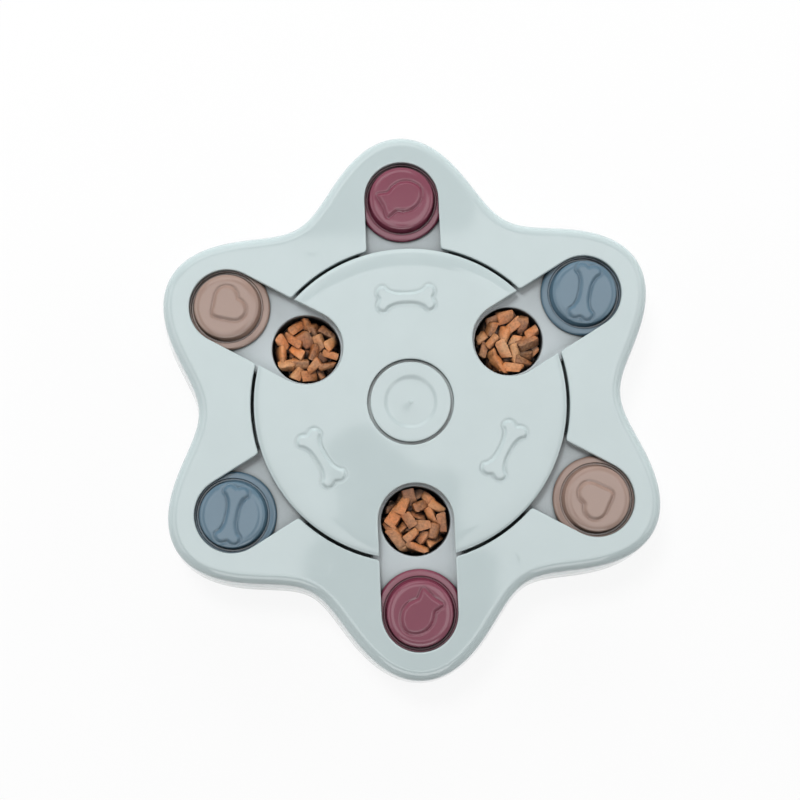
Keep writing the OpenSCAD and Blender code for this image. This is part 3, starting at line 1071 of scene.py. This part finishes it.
@dataclass
class HubCap:
    """The fixed cap in the middle, with its shallow dish, gate mark, collar and stem."""

    low: float = 27.6
    top: float = 29.8
    radius: float = 17.8
    round: float = 0.6
    dish_radius: float = 11.25
    dish_depth: float = 0.6
    gate_radius: float = 0.9
    gate_height: float = 0.2
    collar_low: float = 25.6
    collar_radius: float = 12.8
    collar_inner: float = 10.8
    stem_radius: float = 5.0
    stem_low: float = 16.5
    pilot_radius: float = 1.5
    pilot_top: float = 24.2

    def profile(self) -> list[Pair]:
        """Gives half of the section, from the pilot hole's end round to the middle of the dish.

        Returns:
            Pairs of radius and height.
        """
        floor = self.top - self.dish_depth
        rows = [
            (0.0, self.pilot_top), (self.pilot_radius, self.pilot_top), (self.pilot_radius, self.stem_low),
            (self.stem_radius - 0.3, self.stem_low), (self.stem_radius, self.stem_low + 0.3),
            (self.stem_radius, self.low),
            (self.collar_inner, self.low), (self.collar_inner, self.collar_low),
            (self.collar_radius - 0.2, self.collar_low), (self.collar_radius, self.collar_low + 0.2),
            (self.collar_radius, self.low), (self.radius - 0.2, self.low), (self.radius, self.low + 0.2),
        ]
        rows += corner((self.radius - self.round, self.top - self.round), (self.round, self.round), 6)
        rows.append((self.radius - self.round - 0.4, self.top))
        for k in range(13):
            share = k / 12
            r = self.dish_radius + 1.1 - 2.6 * share
            rows.append((r, self.top - self.dish_depth * (3 * share**2 - 2 * share**3)))
        rows += [
            (self.dish_radius - 2.2, floor),
            (self.gate_radius + 0.4, floor), (self.gate_radius, floor + 0.03),
            (self.gate_radius * 0.8, floor + self.gate_height * 0.7),
            (self.gate_radius * 0.4, floor + self.gate_height), (0.0, floor + self.gate_height),
        ]
        return rows

    def build(self) -> bpy.types.Object:
        """Builds the cap.

        Returns:
            The object.
        """
        work = Moulding()
        work.lathe(self.profile(), 128)
        made = work.piece("hub_cap_dish", crease=50.0)
        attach(made, "housing")
        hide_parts("hub_cap")
        return made


@dataclass
class CarriedNode:
    """A CAD node whose shape is right, as a smooth copy with its doubles merged."""

    node: str
    body: str
    slot: str
    crease: float = 32.0

    def build(self) -> bpy.types.Object:
        """Copies the node, merges it and shades it smooth.

        Returns:
            The object.
        """
        bm = bmesh.new()
        bm.from_mesh(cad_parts[self.node].data)
        bmesh.ops.remove_doubles(bm, verts=bm.verts[:], dist=0.002 * MM)
        bmesh.ops.dissolve_degenerate(bm, dist=0.001 * MM, edges=bm.edges[:])
        made = linked(self.node + "_finish", bm, self.crease)
        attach(made, self.body)
        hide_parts(self.node)
        return made


@dataclass
class RubberFoot:
    """A rubber foot with a rounded edge and a shallow hollow underneath."""

    node: str
    direction: float
    station: float = 92.5
    radius: float = 10.0
    height: float = 4.0
    round: float = 0.7

    def build(self) -> bpy.types.Object:
        """Builds the foot.

        Returns:
            The object.
        """
        work = Moulding()
        rows = [(0.0, 0.35), (self.radius - 3.4, 0.35), (self.radius - 3.0, 0.1), (self.radius - 2.7, 0.0)]
        rows += corner((self.radius - self.round, self.round), (self.round, -self.round), 5)[::-1]
        rows += [(self.radius, self.height - 0.1), (self.radius - 0.1, self.height), (0.0, self.height)]
        work.lathe(rows, 64)
        work.move(moved_to(self.station, self.direction))
        made = work.piece(self.node + "_rubber", crease=45.0)
        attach(made, "housing")
        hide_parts(self.node)
        return made


@dataclass
class KibblePortion:
    """The dry food that lies in one treat cup."""

    name: str
    direction: float
    seed: int
    station: float = 52.5
    cup_radius: float = 14.6
    floor: float = 6.0
    brim: float = 22.9
    count: int = 62
    spacing: float = 2.7
    settling: int = 70
    halves: tuple[Pair, ...] = ((3.6, 5.4), (2.1, 3.1), (1.8, 2.6))
    jolts: tuple[Pair, ...] = ((-0.3, 0.2), (-0.5, 0.3), (-0.4, 0.2))
    worn_edge: Pair = (0.7, 1.2)
    lean: Pair = (0.45, 0.35)
    shades: Pair = (0.25, 1.0)
    crumble: float = 0.35
    crease: float = 36.0

    def places(self, rng: random.Random) -> list[Vector]:
        """Settles the pieces in the cup, so that they hardly overlap.

        Args:
            rng: The seeded source of chance.

        Returns:
            The pieces' centres, in the cup's own frame.
        """
        size = self.spacing
        reach = self.cup_radius - size
        low, high = self.floor + size, self.brim - size * 0.9
        spots = []
        for _ in range(self.count):
            r, a = reach * math.sqrt(rng.random()), math.tau * rng.random()
            spots.append(Vector((r * math.cos(a), r * math.sin(a), rng.uniform(low, high))))
        for _ in range(self.settling):
            for i, one in enumerate(spots):
                for other in spots[i + 1:]:
                    gap = one - other
                    short = 2.05 * size - gap.length
                    if short > 0 and gap.length > 1e-6:
                        push = gap.normalized() * short * 0.45
                        one += push
                        other -= push
            for one in spots:
                flat = Vector((one.x, one.y))
                if flat.length > reach:
                    flat *= reach / flat.length
                    one.x, one.y = flat
                one.z = min(high, max(low, one.z))
        return spots

    def build(self) -> bpy.types.Object:
        """Builds the portion as one object.

        Returns:
            The object.
        """
        rng = random.Random(self.seed)
        bm = bmesh.new()
        shade = bm.verts.layers.float.new(SHADE)
        for spot in self.places(rng):
            made = bmesh.ops.create_cube(bm, size=2.0)["verts"]
            half = [rng.uniform(*bounds) for bounds in self.halves]
            for vert in made:
                jolt = [rng.uniform(*bounds) for bounds in self.jolts]
                vert.co = [math.copysign(1 + j, c) * h for j, c, h in zip(jolt, vert.co, half)]
            edges = list({e for v in made for e in v.link_edges})
            made = bmesh.ops.bevel(
                bm, geom=made + edges, offset=rng.uniform(*self.worn_edge), offset_type="OFFSET",
                segments=2, profile=0.5, affect="EDGES", material=-1,
            )["verts"]
            turn = Matrix.Rotation(rng.uniform(0, math.tau), 3, "Z")
            turn = turn @ Matrix.Rotation(rng.gauss(0, self.lean[0]), 3, "X")
            turn = turn @ Matrix.Rotation(rng.gauss(0, self.lean[1]), 3, "Y")
            own = rng.uniform(*self.shades)
            shift = Vector([rng.uniform(-50, 50) for _ in range(3)])
            for vert in {v for one in made for e in one.link_edges for v in e.verts}:
                vert.co += vert.co.normalized() * self.crumble * noise.noise(vert.co * 0.7 + shift)
                vert.co = spot + turn @ vert.co
                out = vert.co.xy.length
                if out > self.cup_radius:
                    vert.co.xy *= self.cup_radius / out
                vert.co.z = min(self.brim, max(self.floor + 0.05, vert.co.z))
                vert[shade] = own + 0.25 * noise.noise(vert.co * 0.5 + shift)
        bmesh.ops.transform(bm, matrix=moved_to(self.station, self.direction), verts=bm.verts[:])
        bmesh.ops.scale(bm, vec=(MM, MM, MM), verts=bm.verts[:])
        made = linked(self.name, bm, self.crease)
        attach(made, "housing")
        return made


@dataclass(frozen=True)
class Window:
    """A soft light that points at the object, like a window."""

    name: str
    place: Triple
    size: Pair
    radiance: float

    def hang(self) -> None:
        """Hangs the light, which gloss doesn't show: the panels are what it shows."""
        lamp = bpy.data.lights.new(self.name, "AREA")
        lamp.shape = "RECTANGLE"
        lamp.size, lamp.size_y = self.size
        lamp.energy = self.radiance * self.size[0] * self.size[1] * math.pi
        hung = bpy.data.objects.new(self.name, lamp)
        hung.location = self.place
        hung.rotation_euler = (-Vector(self.place)).to_track_quat("-Z", "Y").to_euler()
        hung.visible_glossy = False
        bpy.context.scene.collection.objects.link(hung)


@dataclass(frozen=True)
class Panel:
    """A flat, evenly bright panel that only reflections see."""

    name: str
    radiance: float
    corners: tuple[Triple, ...]

    def hang(self) -> None:
        """Hangs the panel."""
        bm = bmesh.new()
        made = bmesh.ops.create_circle(bm, cap_ends=True, radius=1.0, segments=len(self.corners))["verts"]
        ring = sorted(made, key=lambda v: math.atan2(v.co.y, v.co.x))
        for vert, place in zip(ring, self.corners):
            vert.co = place
        held = linked(self.name, bm)
        for ray in ("camera", "diffuse", "transmission", "volume_scatter", "shadow"):
            setattr(held, f"visible_{ray}", False)
        nodes = bare_nodes(held)
        glow = nodes.add("Emission")
        nodes.feed(self.radiance, glow.inputs["Strength"])
        nodes.feed(glow.outputs[0], nodes.add("OutputMaterial").inputs["Surface"])


def bare_nodes(piece: bpy.types.Object) -> Nodes:
    """Gives a piece of the studio its own material, with no nodes in it yet.

    Args:
        piece: The object.

    Returns:
        The material's nodes.
    """
    material = bpy.data.materials.new(piece.name)
    material.use_nodes = True
    material.node_tree.nodes.clear()
    piece.data.materials.append(material)
    return Nodes(material.node_tree)


def level(height: float, *corners: Pair) -> tuple[Triple, ...]:
    """Lays the corners of a panel at one height, in metres."""
    return tuple((x, y, height) for x, y in corners)


@dataclass
class Studio:
    """The pale floor, the soft light and the camera."""

    world_strength: float = 0.15
    windows: tuple[Window, ...] = (
        Window("key_window", (-0.35, 0.75, 1.45), (0.5, 0.5), 20.0),
        Window("rear_low_window", (0.2, 1.5, 0.5), (1.6, 0.5), 4.5),
        Window("left_low_window", (-1.5, 0.2, 0.5), (1.4, 0.5), 3.5),
        Window("right_low_window", (1.5, 0.2, 0.5), (1.4, 0.5), 4.5),
        Window("front_low_window", (0.0, -1.5, 0.3), (1.6, 0.3), 2.5),
    )
    panels: tuple[Panel, ...] = (
        Panel("ceiling_panel", 3.5, level(
            1.3, (-0.6, -0.55), (0.75, -0.55), (0.75, 0.5), (0.18, 0.5), (0.14, 0.4), (-0.1, 0.4),
            (-0.25, 0.44), (-0.6, 0.44),
        )),
        Panel("front_bank_panel", 4.5, (
            (-0.6, -1.1, 0.6), (0.5, -1.1, 0.6), (0.5, -0.8, 1.0), (-0.6, -0.8, 1.0),
        )),
        Panel("rear_bank_panel", 3.15, (
            (-0.7, 1.0, 1.0), (0.3, 1.2, 1.0), (0.3, 0.9, 1.35), (-0.7, 0.75, 1.35),
        )),
        Panel("left_bank_panel", 2.7, (
            (-1.1, 0.6, 0.6), (-1.1, -0.6, 0.6), (-0.8, -0.6, 1.0), (-0.8, 0.6, 1.0),
        )),
        Panel("right_bank_panel", 2.7, (
            (1.1, -0.6, 0.6), (1.1, 0.6, 0.6), (0.9, 0.6, 1.0), (0.9, -0.6, 1.0),
        )),
        Panel("stand_card", 1.2, level(
            1.25, (-0.085, 0.084), (-0.09, 0.066), (-0.078, 0.02), (-0.07, -0.02), (-0.096, -0.05),
            (-0.124, -0.073), (-0.125, -0.22), (-0.11, -0.36), (0.14, -0.36), (0.15, -0.2), (0.153, -0.088),
            (0.11, -0.07), (0.1, -0.03), (0.104, 0.02), (0.095, 0.036), (0.068, 0.04), (0.04, 0.046),
            (0.018, 0.064), (-0.003, 0.084), (-0.016, 0.1), (-0.032, 0.11), (-0.055, 0.1), (-0.07, 0.093),
        )),
    )
    floor_size: float = 8.0
    floor_white: float = 0.9
    floor_paint: tuple[float, float, float, float] = (0.9, 0.9, 0.9, 1.0)
    camera_turn: Triple = (-6.58, 0.96, 2.52)
    camera_aim: Triple = (0.0, 0.0, 28.5)
    camera_offset: Triple = (4.689, -0.842, -538.4)
    lens: float = 54.756
    sensor: float = 36.0

    def world(self) -> None:
        """Sets an even, white surrounding, a little dimmer as a light than as a background."""
        world = bpy.data.worlds.new("studio")
        bpy.context.scene.world = world
        world.use_nodes = True
        nodes = Nodes(world.node_tree)
        back = world.node_tree.nodes["Background"]
        nodes.feed((1.0, 1.0, 1.0, 1.0), back.inputs["Color"])
        strength = nodes.spread(nodes.backdrop(), self.world_strength, 1.0, 0.0, 1.0)
        nodes.feed(strength, back.inputs["Strength"])

    def floor(self) -> None:
        """Lays a plain pale floor that keeps a faint shadow."""
        bm = bmesh.new()
        bmesh.ops.create_grid(bm, x_segments=1, y_segments=1, size=self.floor_size / 2)
        made = linked("floor", bm)
        nodes = bare_nodes(made)
        paint = nodes.add("BsdfDiffuse")
        nodes.feed(self.floor_paint, paint.inputs["Color"])
        glow = nodes.add("Emission")
        mix = nodes.add("MixShader")
        share = nodes.calculate("Math", "MULTIPLY", nodes.backdrop(), self.floor_white)
        for part, into in zip((share, paint.outputs[0], glow.outputs[0]), mix.inputs):
            nodes.feed(part, into)
        nodes.feed(mix.outputs[0], nodes.add("OutputMaterial").inputs["Surface"])

    def camera(self) -> None:
        """Sets the camera where the photograph was taken from."""
        tilt, roll, spin = (
            Matrix.Rotation(math.radians(angle), 3, axis) for angle, axis in zip(self.camera_turn, "XYZ")
        )
        turn = (tilt @ roll @ spin).transposed()
        place = Vector(self.camera_aim) - turn @ Vector(self.camera_offset)
        lens = bpy.data.cameras.new("camera")
        lens.lens = self.lens
        lens.sensor_width = self.sensor
        lens.clip_start = 0.02
        made = bpy.data.objects.new("camera", lens)
        bpy.context.scene.collection.objects.link(made)
        made.matrix_world = Matrix.Translation(place * MM) @ turn.to_4x4()
        bpy.context.scene.camera = made

    def build(self) -> None:
        """Sets up the light, the floor and the camera."""
        self.world()
        for hung in self.windows + self.panels:
            hung.hang()
        self.floor()
        self.camera()
        bpy.context.scene.view_settings.view_transform = "Standard"


def dress(piece: bpy.types.Object, material: bpy.types.Material) -> None:
    """Gives a piece its material and reports it."""
    piece.data.materials.append(material)
    log.info("%s: %d faces, %s", piece.name, len(piece.data.polygons), material.name)


def knobs() -> list[Knob]:
    """Lists the six sliders.

    Returns:
        The sliders, from the rear one round to the rear right one.
    """
    bone = Figure(FigureKind.BONE, 25.0, 11.0, moat_depth=0.42)
    heart = Figure(FigureKind.HEART, 16.5, 16.5, moat_depth=0.42)
    fish = Figure(FigureKind.FISH, 16.0, 13.25, moat_depth=0.42)
    return [
        Knob("slider_fish_rear", 90.0, fish, 22.0, "fish_plastic"),
        Knob("slider_heart_rear_left", 150.0, heart, 31.0, "heart_plastic"),
        Knob("slider_bone_front_left", 210.0, bone, 77.0, "bone_plastic"),
        Knob("slider_fish_front", 270.0, fish, 229.0, "fish_plastic"),
        Knob("slider_heart_front_right", 330.0, heart, 198.0, "heart_plastic"),
        Knob("slider_bone_rear_right", 30.0, bone, 76.0, "bone_plastic"),
    ]


def knob_plastic(name: str, colour: Triple) -> bpy.types.Material:
    """Makes the satin plastic of the sliders, with deep painted shade in their grooves and gaps."""
    return MouldedPlastic(
        name, colour, roughness=0.16, painted_shade_low=0.15, painted_shade_high=0.5, painted_recess_shade=0.1
    ).material()


def main() -> None:
    """Builds every piece in order and reports it."""
    logging.basicConfig(level=logging.INFO, format="%(name)s: %(message)s")
    shell = MouldedPlastic("shell_plastic", (188, 202, 203), sink_depth=0.000025).material()
    inner = MouldedPlastic("inner_plastic", (188, 202, 203)).material()
    # The tray's deck gets wide, dark painted shade near walls and under gaps.
    tray = MouldedPlastic(
        "tray_plastic", (179, 188, 191), 0.3, painted_shade_reach=0.01, painted_shade_low=0.2, painted_shade_high=0.8,
        painted_recess_shade=0.25,
    ).material()
    knob_finish = {
        "fish_plastic": knob_plastic("maroon_plastic", (121, 56, 75)),
        "bone_plastic": knob_plastic("slate_plastic", (86, 113, 130)),
        "heart_plastic": knob_plastic("taupe_plastic", (153, 128, 116)),
    }
    dress(CoverShell().build(), shell)
    dress(TurningDisc().build(), inner)
    # The cap gets dark painted shade in the narrow ring round it.
    dress(HubCap().build(), MouldedPlastic("cap_plastic", (188, 202, 203), painted_recess_shade=0.1).material())
    dress(CarriedNode("base_tray", "housing", "shell_plastic").build(), tray)
    for knob in knobs():
        dress(knob.build(), knob_finish[knob.slot])
    rubber = SoftRubber("foot_rubber", (64, 64, 67)).material()
    for k, direction in enumerate(LOBE_DIRECTIONS):
        dress(RubberFoot(f"foot_{k + 1}", direction).build(), rubber)
    steel = PlatedSteel("plated_steel", (184, 184, 189)).material()
    for node in ["hub_screw", "hub_washer"] + [f"cover_screw_{k}" for k in range(1, 7)]:
        dress(CarriedNode(node, "housing", "steel").build(), steel)
    food = BakedKibble("baked_kibble", (96, 54, 24), (230, 140, 74), (216, 160, 110)).material()
    for k, (name, direction) in enumerate(
        (("kibble_front", 270.0), ("kibble_rear_left", 150.0), ("kibble_rear_right", 30.0))
    ):
        dress(KibblePortion(name, direction, 11 + k).build(), food)
    Studio().build()


if __name__ == "__main__":
    main()
